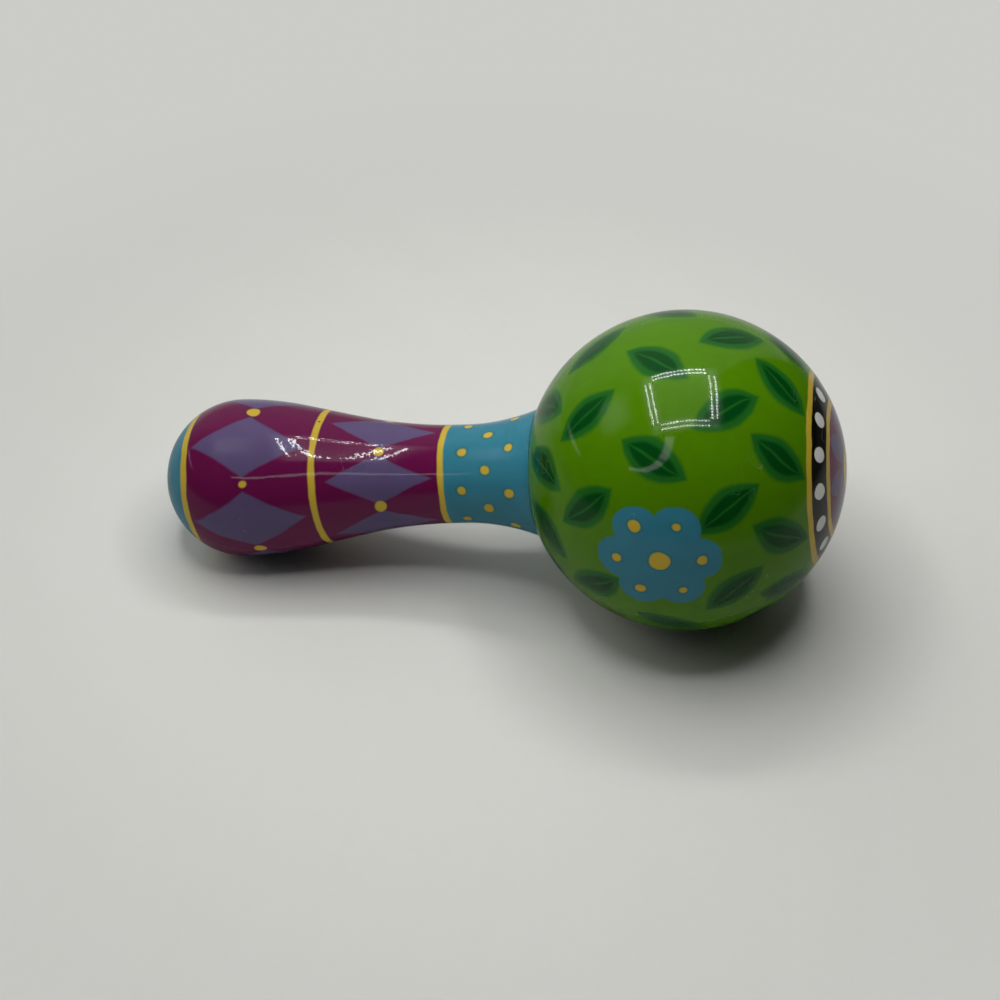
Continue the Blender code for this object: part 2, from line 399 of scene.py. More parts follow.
def turned_piece(name, profile, sides, closed, sizes):
    """A surface of revolution about the lathe axis.

    Row i and column j of its grid lie at centre + h_i ahead + r_i (cos a_j down + sin a_j side), where
    a_j is 2 pi j / sides, lifted along the row's outward direction by the ripple. A closed profile is a
    ring's section. An open one starts and ends on the axis, where the faces are triangles round one point.
    """
    rows = profile if closed else profile[1:-1]
    turn = np.arange(sides) * (math.tau / sides)
    across = np.outer(np.cos(turn), LATHE_DOWN) + np.outer(np.sin(turn), LATHE_SIDE)
    radius, height, out_radius, out_height = rows.T[:, :, None, None]
    points = BALL_CENTRE + radius * across + height * LATHE_AHEAD
    outward = out_radius * across + out_height * LATHE_AHEAD
    points = points + outward * ripple(points, sizes)[..., None]

    here = np.arange(len(rows) * sides).reshape(len(rows), sides)
    if closed:
        here = np.vstack([here, here[:1]])
    beside = np.roll(here, -1, axis=1)
    faces = np.stack([here[:-1], here[1:], beside[1:], beside[:-1]], axis=-1).reshape(-1, 4).tolist()
    painted = np.any(rows[:, 2:] != 0.0, axis=1)
    painted = np.append(painted, painted[0]) if closed else painted
    finish = np.repeat(np.where(painted[:-1] & painted[1:], PAINTED, BARE), sides)
    points = points.reshape(-1, 3)
    if not closed:
        ends = BALL_CENTRE + profile[[0, -1], 1, None] * LATHE_AHEAD
        first = np.full(sides, len(points))
        faces += np.column_stack([first, here[0], beside[0]]).tolist()
        faces += np.column_stack([here[-1], first + 1, beside[-1]]).tolist()
        finish = np.concatenate([
            finish,
            np.full(sides, PAINTED if painted[0] else BARE),
            np.full(sides, PAINTED if painted[-1] else BARE),
        ])
        points = np.vstack([points, ends])
    return finished_object(name, points, faces, finish)


def finished_object(name, points, faces, finish):
    """Puts a worked-out surface into a smooth mesh at the origin, with the finish of each face."""
    mesh = bpy.data.meshes.new(name)
    mesh.from_pydata(points.tolist(), [], faces)
    mesh.polygons.foreach_set("material_index", np.asarray(finish, dtype=np.int32))
    mesh.shade_smooth()
    mesh.set_sharp_from_angle(angle=SHARP_ANGLE)
    mesh.update()
    piece = bpy.data.objects.new(name, mesh)
    bpy.context.scene.collection.objects.link(piece)
    return piece


def handle_profile(sizes):
    """Tenon, hollow seat, flare, waist, bulb and butt of the handle, from the tenon's end to the butt.

    The flare is an arc that meets the ball, the waist is half a cosine wave from neck to bulb, and the
    butt is a half sphere with a small flat.
    """
    ball, bulb, neck = sizes.ball_diameter / 2, sizes.bulb_diameter / 2, sizes.neck_diameter / 2
    seat, tenon = ball + sizes.lacquer_gap, sizes.tenon_diameter / 2
    neck_height = -(ball + sizes.neck_standoff)
    bulb_height = -(sizes.overall_length - ball - bulb)
    tenon_end = -(ball - sizes.wall - sizes.tenon_reach)

    beside = neck + sizes.flare_radius
    apart = math.hypot(beside, neck_height)
    cosine = (sizes.flare_radius**2 + apart**2 - seat**2) / (2 * sizes.flare_radius * apart)
    rim = math.atan2(-neck_height, -beside) + math.acos(cosine)
    flare = arc_rows(
        (beside, neck_height), sizes.flare_radius, np.linspace(rim, math.pi, FLARE_STEPS + 1), -1.0)
    seat_angles = np.linspace(
        -math.acos(tenon / seat), math.atan2(flare[0, 1], flare[0, 0]), SEAT_STEPS + 1)

    share = np.linspace(0.0, 1.0, WAIST_STEPS + 1)[1:-1]
    swing, drop = (bulb - neck) / 2, bulb_height - neck_height
    power = sizes.waist_power
    wave = math.pi * share**power
    slope = swing * np.sin(wave) * math.pi * power * share ** (power - 1.0) / drop
    steep = np.hypot(1.0, slope)
    waist = np.column_stack([
        (bulb + neck) / 2 - swing * np.cos(wave),
        neck_height + drop * share,
        1.0 / steep,
        -slope / steep,
    ])
    flat = math.acos(sizes.butt_flat_diameter / 2 / bulb)
    butt = arc_rows((0.0, bulb_height), bulb, np.linspace(0.0, -flat, BUTT_STEPS + 1), 1.0)
    return np.vstack([
        bare_rows(
            (0.0, tenon_end),
            (tenon - sizes.tenon_chamfer, tenon_end),
            (tenon, tenon_end - sizes.tenon_chamfer),
        ),
        arc_rows((0.0, 0.0), seat, seat_angles, 0.0),
        flare,
        waist,
        butt,
        [(0.0, butt[-1, 1], 0.0, -1.0)],
    ])


def rear_shell_profile(sizes):
    """Section of the bored half of the ball: outside, socket, chamber wall and the lip of the seam."""
    ball, chamber = sizes.ball_diameter / 2, sizes.ball_diameter / 2 - sizes.wall
    socket = sizes.tenon_diameter / 2 + sizes.clearance
    lip = chamber + sizes.lip_thickness
    return np.vstack([
        arc_rows((0.0, 0.0), ball, seam_angles(-math.acos(socket / ball)), 1.0),
        arc_rows(
            (0.0, 0.0), chamber, np.linspace(-math.acos(socket / chamber), 0.0, INSIDE_STEPS + 1), 0.0),
        bare_rows(
            (chamber, sizes.lip_length),
            (lip - sizes.lip_chamfer, sizes.lip_length),
            (lip, sizes.lip_length - sizes.lip_chamfer),
            (lip, 0.0),
        ),
    ])


def front_shell_profile(sizes):
    """Section of the closed half of the ball, from its front over the seam and the rabbet inwards."""
    ball, chamber = sizes.ball_diameter / 2, sizes.ball_diameter / 2 - sizes.wall
    rabbet = chamber + sizes.lip_thickness + sizes.clearance
    shoulder = sizes.lip_length + sizes.clearance
    inside = np.linspace(math.asin(shoulder / chamber), math.pi / 2, INSIDE_STEPS + 1)
    return np.vstack([
        arc_rows((0.0, 0.0), ball, seam_angles(math.pi / 2)[::-1], 1.0),
        bare_rows((rabbet, 0.0), (rabbet, shoulder)),
        arc_rows((0.0, 0.0), chamber, inside, 0.0),
    ])


def pellet_piece(name, node, draw, sizes):
    """A turned bead in the space of its node.

    Its surface is a sphere of unit radius, pressed along its own axis and swollen by two slow waves,
    turned at random and scaled until it fits the node's radius.
    """
    low, high = (np.array(corner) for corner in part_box(node))
    centre, radius = (low + high) / 2, (high - low).min() / 2
    polar = np.linspace(0.0, math.pi, PELLET_BANDS + 1)[1:-1, None]
    turn = np.arange(PELLET_SIDES) * (math.tau / PELLET_SIDES)
    swell = 1.0 + PELLET_OVAL * np.sin(2 * turn + draw.uniform(0, math.tau)) * np.sin(polar) ** 2
    swell = swell + PELLET_WAVY * np.cos(3 * polar + draw.uniform(0, math.tau))
    grid = np.stack([
        swell * np.sin(polar) * np.cos(turn),
        swell * np.sin(polar) * np.sin(turn),
        swell * np.cos(polar) * (1.0 - sizes.pellet_flattening),
    ], axis=-1)
    tips = np.array([(0, 0, 1.0), (0, 0, -1.0)]) * (1.0 - sizes.pellet_flattening)
    points = np.vstack([grid.reshape(-1, 3), tips])
    points *= radius / np.linalg.norm(points, axis=1).max()
    spin, _ = np.linalg.qr(draw.normal(size=(3, 3)))
    spin *= np.sign(np.linalg.det(spin))
    points = centre + points @ spin.T

    here = np.arange(grid.shape[0] * PELLET_SIDES).reshape(-1, PELLET_SIDES)
    beside = np.roll(here, -1, axis=1)
    top = np.full(PELLET_SIDES, len(points) - 2)
    faces = np.stack([here[:-1], here[1:], beside[1:], beside[:-1]], axis=-1).reshape(-1, 4).tolist()
    faces += np.column_stack([top, here[0], beside[0]]).tolist()
    faces += np.column_stack([here[-1], top + 1, beside[-1]]).tolist()
    return finished_object(name, points, faces, np.zeros(len(faces)))


class Wire:
    """An output of a node tree. Arithmetic on it, with numbers or other wires, adds Math nodes."""

    def __init__(self, tree, socket=None):
        self.tree = tree
        self.socket = socket

    def node(self, kind, settings=None, inputs=None, output=0):
        """Adds a node: its settings first, then the value or wire of each named or numbered socket."""
        made = self.tree.nodes.new(kind)
        for name, value in (settings or {}).items():
            setattr(made, name, value)
        for key, value in (inputs or {}).items():
            if isinstance(value, Wire):
                self.tree.links.new(value.socket, made.inputs[key])
            else:
                made.inputs[key].default_value = value
        return Wire(self.tree, made.outputs[output] if made.outputs else None)

    def twin(self, output):
        """Another output of the same node."""
        return Wire(self.tree, self.socket.node.outputs[output])

    def math(self, operation, *others):
        return self.node("ShaderNodeMath", {"operation": operation}, dict(enumerate((self, *others))))

    def __add__(self, other):
        return self.math("ADD", other)

    def __radd__(self, other):
        return self.math("ADD", other)

    def __sub__(self, other):
        return self.math("SUBTRACT", other)

    def __rsub__(self, other):
        return self.node("ShaderNodeMath", {"operation": "SUBTRACT"}, {0: other, 1: self})

    def __mul__(self, other):
        return self.math("MULTIPLY", other)

    def __rmul__(self, other):
        return self.math("MULTIPLY", other)

    def __truediv__(self, other):
        return self.math("DIVIDE", other)

    def __pow__(self, other):
        return self.math("POWER", other)

    def __abs__(self):
        return self.math("ABSOLUTE")


def hypot(a, b):
    """Length of the vector (a, b)."""
    return (a * a + b * b).math("SQRT")


def rise(value, low, high):
    """Smooth step from 0 at low to 1 at high, or down from 1 where low is above high."""
    return value.node(
        "ShaderNodeMapRange", {"interpolation_type": "SMOOTHSTEP"},
        {"Value": value, "From Min": low, "From Max": high, "To Min": 0.0, "To Max": 1.0})


def stripe(value, low, high, soft):
    """Mask of a band between two values, with soft edges of that half width."""
    return rise(value, low - soft, low + soft) * rise(value, high + soft, high - soft)


def brushed(under, over, mask):
    """Paint laid over paint where the mask is 1."""
    return mask.node("ShaderNodeMix", {"data_type": "RGBA"}, {0: mask, 6: under, 7: over}, 2)


def around_ring(angle, count, shift):
    """Angle from the middle of the nearest of that many equal places round a ring, in radians."""
    place = (angle * (count / math.tau) + shift).math("FRACT")
    return (place - 0.5) * (math.tau / count)


def lathe_place(wire, wander):
    """Lathe coordinates (down, side, ahead) in millimetres, true and with the drift of a held brush."""
    place = wire.node(
        "ShaderNodeMapping", {"vector_type": "TEXTURE"},
        {
            "Vector": wire.node("ShaderNodeTexCoord", output="Object"),
            "Location": BALL_CENTRE,
            "Rotation": (0.0, LATHE_TURN, 0.0),
            "Scale": (MM, MM, MM),
        })
    drift = wire.node("ShaderNodeTexNoise", {}, {"Vector": place, **DRIFT_NOISE}, "Color")
    drift = wire.node(
        "ShaderNodeVectorMath", {"operation": "MULTIPLY_ADD"},
        {0: drift, 1: (2 * wander,) * 3, 2: (-wander,) * 3})
    return place, wire.node("ShaderNodeVectorMath", {"operation": "ADD"}, {0: place, 1: drift})


def brush_touch(wire, place):
    """What the size of a dot differs by, in millimetres, from one touch of the brush to the next."""
    noise = wire.node("ShaderNodeTexNoise", {}, {"Vector": place, **TOUCH_NOISE})
    return noise * (2 * DOT_TOUCH) - DOT_TOUCH


def leaves(angle, reach, ball_radius):
    """Masks of the leaf, its dark heart and its rib, for rows of leaves round the ball.

    A leaf is the space between two parabolas: at a distance a along it, its half width is
    w (1 - (a / l)^2).
    """
    leaf = rib = None
    for row, polar in enumerate(LEAF_ROWS):
        tilt = LEAF_LEAN if row % 2 else -LEAF_LEAN
        across = around_ring(angle, LEAVES, 0.5 * (row % 2) + LEAF_SHIFT) * (ball_radius * math.sin(polar))
        along = reach - ball_radius * polar
        a = along * math.cos(tilt) + across * math.sin(tilt)
        b = abs(across * math.cos(tilt) - along * math.sin(tilt))
        field = (1.0 - (a / LEAF_LENGTH) ** 2.0) * LEAF_WIDTH - b
        middle = (RIB_REACH - (a / LEAF_LENGTH) ** 2.0) * RIB_WIDTH - b
        leaf = field if leaf is None else leaf.math("MAXIMUM", field)
        rib = middle if rib is None else rib.math("MAXIMUM", middle)
    return rise(leaf, *LEAF_EDGE), rise(leaf, *LEAF_HEART_EDGE), rise(rib, *RIB_EDGE)


def flowers(angle, reach, radius, ball_radius, touch):
    """Masks of the petals, of the halo round the dots and of the dots, for the flowers on the ball."""
    across = around_ring(angle, FLOWERS, LEAF_SHIFT * FLOWERS / LEAVES) * radius
    along = reach - ball_radius * FLOWER_AT
    out = hypot(across, along)
    fold = around_ring(along.math("ARCTAN2", across), PETALS, 0.0)
    ahead, aside = out * fold.math("COSINE"), out * fold.math("SINE")
    petal = PETAL_RADIUS - hypot(ahead - PETAL_AT, aside)
    petals = rise(petal.math("MAXIMUM", FLOWER_MIDDLE - out), *PETAL_EDGE)
    dots = (PETAL_DOT - hypot(ahead - PETAL_DOT_AT, aside)).math("MAXIMUM", MIDDLE_DOT - out) - touch
    return petals, rise(dots, *FLOWER_HALO_EDGE), rise(dots, *FLOWER_DOT_EDGE)


def ball_paint(colours, sizes):
    """Green ball with leaves and flowers, and a rosette in rings at its front."""
    material, wire = new_finish("ball_paint")
    clean, place = lathe_place(wire, BALL_DRIFT)
    radius_mm = sizes.ball_diameter / 2 / MM
    x = wire.node("ShaderNodeSeparateXYZ", {}, {0: place})
    y, z = x.twin(1), x.twin(2)
    radius = hypot(x, y)
    angle = y.math("ARCTAN2", x)
    reach = radius.math("ARCTAN2", z) * radius_mm

    leaf, heart, rib = leaves(angle, reach, radius_mm)
    paint = brushed(colours.ball_green, colours.leaf_green, leaf)
    paint = brushed(paint, colours.leaf_heart, heart)
    paint = brushed(paint, colours.leaf_green, rib * RIB_STRENGTH)
    petals, halo, dots = flowers(angle, reach, radius, radius_mm, brush_touch(wire, clean))
    paint = brushed(paint, colours.turquoise, petals)
    paint = brushed(paint, colours.leaf_green, halo * HALO_STRENGTH)
    paint = brushed(paint, colours.yellow, dots)

    petal_turn = around_ring(angle, ROSETTE_PETALS, 0.0) * reach
    petal_reach = reach - ROSETTE_PETAL_AT
    petal = 1.0 - hypot(petal_reach / ROSETTE_PETAL_LENGTH, petal_turn / ROSETTE_PETAL_WIDTH)
    front = brushed(colours.yellow, colours.purple, rise(reach, *ROSETTE_DISC))
    front = brushed(front, colours.lavender, rise(petal, *ROSETTE_PETAL_EDGE))
    front = brushed(front, colours.yellow, rise(reach, *ROSETTE_RING))
    front = brushed(front, colours.black, rise(reach, *ROSETTE_BAND))
    dot_turn = around_ring(angle, ROSETTE_DOTS, 0.0) * radius
    front = brushed(front, colours.white, rise(hypot(reach - ROSETTE_DOT_AT, dot_turn), *ROSETTE_DOT_EDGE))
    front = brushed(front, colours.yellow, rise(reach, *ROSETTE_RIM))
    paint = brushed(paint, front, rise(reach, *ROSETTE_END))

    neck_edge = reach + NECK_WAVE * (angle + NECK_WAVE_TURN).math("SINE")
    paint = brushed(paint, colours.turquoise, rise(neck_edge, *NECK_PAINT_EDGE))
    lacquer(wire, clean, paint, BALL_PEEL, BALL_ROUGHNESS)
    return material


def handle_paint(colours):
    """Purple handle with two rows of lavender lozenges, yellow rings, and a turquoise neck and butt."""
    material, wire = new_finish("handle_paint")
    clean, place = lathe_place(wire, HANDLE_DRIFT)
    x = wire.node("ShaderNodeSeparateXYZ", {}, {0: place})
    y = x.twin(1)
    back = x.twin(2) * -1.0
    radius = hypot(x, y)
    angle = y.math("ARCTAN2", x)

    touch = brush_touch(wire, clean)
    paint = colours.purple
    for at, length, width, shift in LOZENGE_ROWS:
        turn = abs(around_ring(angle, LOZENGES, shift + LOZENGE_SHIFT))
        lozenge = 1.0 - turn / width - abs(back - at) / length
        paint = brushed(paint, colours.lavender, rise(lozenge, *LOZENGE_EDGE))
        between = around_ring(angle, LOZENGES, shift + 0.5 + LOZENGE_SHIFT) * radius
        dot = hypot(between, back - at) + touch
        paint = brushed(paint, colours.yellow, rise(dot, *LOZENGE_DOT_EDGE))
    paint = brushed(paint, colours.yellow, stripe(back, *MIDDLE_RING))
    paint = brushed(paint, colours.turquoise, rise(back, *NECK_EDGE))
    paint = brushed(paint, colours.yellow, stripe(back, *NECK_RING))
    for row, at in enumerate(NECK_DOT_ROWS):
        across = around_ring(angle, NECK_DOTS, 0.5 * (row % 2)) * radius
        dot = hypot(across, back - at) + touch
        paint = brushed(paint, colours.leaf_green, rise(dot, *NECK_HALO_EDGE) * HALO_STRENGTH)
        paint = brushed(paint, colours.yellow, rise(dot, *NECK_DOT_EDGE))
    paint = brushed(paint, colours.turquoise, rise(back, *BUTT_EDGE))
    paint = brushed(paint, colours.yellow, stripe(back, *BUTT_RING))
    lacquer(wire, clean, paint, HANDLE_PEEL, HANDLE_ROUGHNESS)
    return material


def new_finish(name):
    """An empty node material, and a wire to start its nodes from."""
    material = bpy.data.materials.new(name)
    material.use_nodes = True
    material.node_tree.nodes.clear()
    return material, Wire(material.node_tree)


def lacquer(wire, place, paint, peel_height, roughness):
    """Gloss lacquer over paint: brush mottling, dust specks, hairline scratches and orange peel."""
    mottle = wire.node("ShaderNodeTexNoise", {}, {"Vector": place, **MOTTLE_NOISE})
    speck = wire.node("ShaderNodeTexVoronoi", {}, {"Vector": place, "Scale": DUST_SCALE}, "Distance")
    chosen = wire.node("ShaderNodeSeparateColor", {}, {0: speck.twin("Color")})
    dust = rise(speck, *DUST_EDGE) * rise(chosen, *DUST_CHOICE)
    drawn = wire.node(
        "ShaderNodeMapping", {}, {"Vector": place, "Rotation": SCRATCH_TURN, "Scale": SCRATCH_STRETCH})
    streak = wire.node("ShaderNodeTexNoise", {}, {"Vector": drawn, "Scale": 1.0, "Detail": 1.0})
    patch = wire.node(
        "ShaderNodeTexNoise", {}, {"Vector": place, "Scale": SCRATCH_PATCH_SCALE, "Detail": 1.0})
    scratch = rise(abs(streak - 0.5), *SCRATCH_EDGE) * rise(patch, *SCRATCH_PATCH)

    shade = 1.0 - MOTTLE_SHADE / 2 + mottle * MOTTLE_SHADE
    colour = wire.node("ShaderNodeVectorMath", {"operation": "SCALE"}, {0: paint, "Scale": shade})
    colour = brushed(colour, DUST_COLOUR, dust * DUST_STRENGTH)
    colour = brushed(colour, SCRATCH_COLOUR, scratch * SCRATCH_STRENGTH)
    peel = wire.node("ShaderNodeTexNoise", {}, {"Vector": place, **PEEL_NOISE})
    bump = wire.node("ShaderNodeBump", {}, {"Strength": 1.0, "Distance": peel_height, "Height": peel})
    shader = wire.node(
        "ShaderNodeBsdfPrincipled", {},
        {
            "Base Color": colour,
            "Roughness": roughness + mottle * MOTTLE_ROUGHNESS + scratch * SCRATCH_ROUGHNESS,
            "IOR": LACQUER_IOR,
            "Normal": bump,
        })
    wire.node("ShaderNodeOutputMaterial", {}, {"Surface": shader})


def bare_beech(colours):
    """Bare turned beech: long grain along the lathe axis with short dark flecks."""
    material, wire = new_finish("bare_beech")
    place, _ = lathe_place(wire, 0.0)
    grain_place = wire.node("ShaderNodeMapping", {}, {"Vector": place, "Scale": GRAIN_STRETCH})
    grain = wire.node("ShaderNodeTexNoise", {}, {"Vector": grain_place, **GRAIN_NOISE})
    fleck_place = wire.node("ShaderNodeMapping", {}, {"Vector": place, "Scale": FLECK_STRETCH})
    fleck = wire.node("ShaderNodeTexVoronoi", {}, {"Vector": fleck_place, "Scale": 1.0}, "Distance")
    colour = brushed(colours.beech, colours.beech_grain, rise(grain, *GRAIN_EDGE) * GRAIN_STRENGTH)
    colour = brushed(colour, colours.beech_grain, rise(fleck, *FLECK_EDGE) * FLECK_STRENGTH)
    bump = wire.node(
        "ShaderNodeBump", {}, {"Strength": GRAIN_BUMP, "Distance": GRAIN_DEPTH, "Height": grain})
    shader = wire.node(
        "ShaderNodeBsdfPrincipled", {},
        {"Base Color": colour, "Roughness": BEECH_ROUGHNESS + grain * GRAIN_ROUGHNESS, "Normal": bump})
    wire.node("ShaderNodeOutputMaterial", {}, {"Surface": shader})
    return material


def dress(piece, node, body, slot, *finishes):
    """Gives a piece its finishes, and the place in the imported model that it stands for."""
    for finish in finishes:
        piece.data.materials.append(finish)
    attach(piece, body)
    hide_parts(node)


class SHAKER_OT_handle(bpy.types.Operator):
    """Make the painted handle"""

    bl_idname = "shaker.handle"
    bl_label = "Handle"

    def execute(self, context):
        sizes, colours = context.scene.shaker_sizes, context.scene.shaker_colours
        piece = turned_piece("handle_painted", handle_profile(sizes), HANDLE_SIDES, False, sizes)
        dress(piece, "handle", "shaker", "handle_paint", handle_paint(colours), bare_beech(colours))
        return {"FINISHED"}


class SHAKER_OT_ball(bpy.types.Operator):
    """Make the two painted halves of the ball"""

    bl_idname = "shaker.ball"
    bl_label = "Ball"

    def execute(self, context):
        sizes, colours = context.scene.shaker_sizes, context.scene.shaker_colours
        paint, beech = ball_paint(colours, sizes), bare_beech(colours)
        rear = turned_piece("rear_shell_painted", rear_shell_profile(sizes), BALL_SIDES, True, sizes)
        dress(rear, "rear_shell", "shaker", "ball_paint", paint, beech)
        front = turned_piece("front_shell_painted", front_shell_profile(sizes), BALL_SIDES, False, sizes)
        dress(front, "front_shell", "shaker", "ball_paint", paint, beech)
        return {"FINISHED"}


class SHAKER_OT_pellets(bpy.types.Operator):
    """Make the loose beech pellets in the ball"""

    bl_idname = "shaker.pellets"
    bl_label = "Pellets"

    def execute(self, context):
        sizes, colours = context.scene.shaker_sizes, context.scene.shaker_colours
        beech = bare_beech(colours)
        draw = np.random.default_rng(PELLET_SEED)
        for node in sorted(name for name in frame["nodes"] if name.startswith("pellet_")):
            piece = pellet_piece(node + "_bead", node, draw, sizes)
            dress(piece, node, node, "pellet_wood", beech)
        return {"FINISHED"}


def picture_camera(stage, ball_radius):
    """Camera that shows the ball at its pixel and in its size, at the stage's azimuth and elevation."""
    turn, lift = stage.azimuth, stage.elevation
    right = Vector((math.cos(turn), math.sin(turn), 0.0))
    back = Vector((math.sin(turn) * math.cos(lift), -math.cos(turn) * math.cos(lift), math.sin(lift)))
    up = back.cross(right)
    side = PICTURE_PIXELS / 2
    ray = (
        right * (stage.ball_pixel[0] - side) / stage.focal_pixels
        + up * (side - stage.ball_pixel[1]) / stage.focal_pixels
        - back
    ).normalized()
    distance = math.hypot(ball_radius * stage.focal_pixels / stage.ball_pixel_radius, ball_radius)
    lens = bpy.data.cameras.new("picture_camera")
    lens.sensor_width = SENSOR_WIDTH
    lens.lens = stage.focal_pixels / PICTURE_PIXELS * lens.sensor_width
    lens.clip_start = CLIP_START
    camera = bpy.data.objects.new("picture_camera", lens)
    camera.matrix_world = Matrix.Translation(Vector(BALL_CENTRE) - ray * distance) @ Matrix(
        (right, up, back)).transposed().to_4x4()
    bpy.context.scene.collection.objects.link(camera)
    bpy.context.scene.camera = camera


def lamp(name, place, turn, width, length, power):
    """A flat lamp that shines along its own -Z axis and isn't itself in the picture."""
    light = bpy.data.lights.new(name, "AREA")
    light.shape = "RECTANGLE"
    light.size, light.size_y = width, length
    light.energy = power
    made = bpy.data.objects.new(name, light)
    made.matrix_world = Matrix.Translation(place) @ turn.to_4x4()
    made.visible_camera = False
    bpy.context.scene.collection.objects.link(made)
    return made


def glint(name, place, turn, width, length, brightness, shape):
    """A lamp that only shows in the gloss. Its shape is the share of light at each place on its face."""
    made = lamp(name, place, turn, width, length, brightness * width * length * math.pi)
    made.visible_diffuse = False
    made.data.use_nodes = True
    made.data.node_tree.nodes.clear()
    wire = Wire(made.data.node_tree)
    face = wire.node("ShaderNodeNewGeometry", output="Parametric")
    across = wire.node("ShaderNodeSeparateXYZ", {}, {0: face})
    glow = wire.node("ShaderNodeEmission", {}, {"Strength": shape(across, across.twin(1))})
    wire.node("ShaderNodeOutputLight", {}, {"Surface": glow})


def beads(across, along):
    """Beads of light in a row along a lamp."""
    return rise(abs((along * LAMP_BEADS).math("FRACT") - 0.5), *BEAD_EDGE)


def soft_edges(across, along):
    """Light that fades towards all four edges of a lamp."""
    return rise(abs(across - 0.5), *SOFT_FADE) * rise(abs(along - 0.5), *SOFT_FADE)


def lit_ceiling(across, along):
    """Ceiling that fades towards its edges, and on it the brighter square board that the bars are on."""
    out = abs(across - 0.5).math("MAXIMUM", abs(along - 0.5)) * 2.0
    return rise(out, *CEILING_FADE) + stripe(out, BOARD_FROM, BOARD_TO, BOARD_SOFT) * BOARD_BRIGHTER


def arc_side():
    """Side of the square lamp that holds the pale arc."""
    return 2 * (ARC_RADIUS + ARC_WIDTH)


def pale_arc(across, along):
    """Arc round the middle of a lamp, on both sides of its first axis, with blunt ends and a break."""
    x, y = (across - 0.5) * arc_side(), (along - 0.5) * arc_side()
    out = hypot(x, y)
    band = stripe(out, ARC_RADIUS - ARC_WIDTH / 2, ARC_RADIUS + ARC_WIDTH / 2, ARC_SOFT)
    return band * rise(x / out, *ARC_ENDS) * (1.0 - stripe(y / out, *ARC_BREAK) * ARC_BREAK_DEPTH)


def lamp_frame(stage):
    """Square frame of thin lamps over the shaker, in two rows of four.

    Each bar is a plain lamp for the light that it casts, and just below it a row of beads for the gloss.
    """
    centre = BALL_CENTRE + np.array((*stage.lamp_offset, stage.lamp_height))
    drop = np.array((0.0, 0.0, GLINT_DROP))
    length = stage.lamp_side - 2 * LAMP_ROWS[-1] - LAMP_CORNER
    bar_power = stage.lamp_power / (len(LAMP_ROWS) * len(LAMP_SIDES))
    for row, inset in enumerate(LAMP_ROWS):
        half = stage.lamp_side / 2 - inset
        for side, share in enumerate(LAMP_SIDES):
            turn = stage.lamp_turn + side * math.pi / 2
            place = centre + half * np.array((math.cos(turn), math.sin(turn), 0.0))
            turn = Matrix.Rotation(turn, 3, "Z")
            bar = f"bar_{row}_{side}"
            cast = lamp(bar, place, turn, LAMP_WIDTH, length, bar_power * share)
            cast.visible_glossy = False
            glint(bar + "_glint", place - drop, turn, GLINT_WIDTH, length, stage.lamp_glint * share, beads)
    turn = Matrix.Rotation(stage.lamp_turn, 3, "Z")
    ceiling = stage.lamp_side * CEILING_SHARE
    glint("ceiling_glint", centre + drop, turn, ceiling, ceiling, stage.ceiling_glint, lit_ceiling)


def side_glints(stage):
    """Soft panel and crease to the left and pale arc beside the camera, which only show in the gloss."""
    place = Vector(PANEL_AT)
    turn = place.to_track_quat("Z", "Y").to_matrix()
    glint("panel_glint", place, turn, *PANEL_SIZE, stage.panel_glint, soft_edges)
    place = Vector(CREASE_AT)
    turn = place.to_track_quat("Z", "Y").to_matrix() @ Matrix.Rotation(CREASE_TILT, 3, "Z")
    glint("crease_glint", place, turn, *CREASE_SIZE, stage.crease_glint, soft_edges)
    turn = Matrix.Rotation(ARC_MIDDLE, 3, "Z")
    side = arc_side()
    glint("arc_glint", Vector(ARC_AT), turn, side, side, stage.arc_glint, pale_arc)


def facing(way, side):
    """How far a place or a direction lies towards a side."""
    return way.node("ShaderNodeVectorMath", {"operation": "DOT_PRODUCT"}, {0: way, 1: side}, "Value")


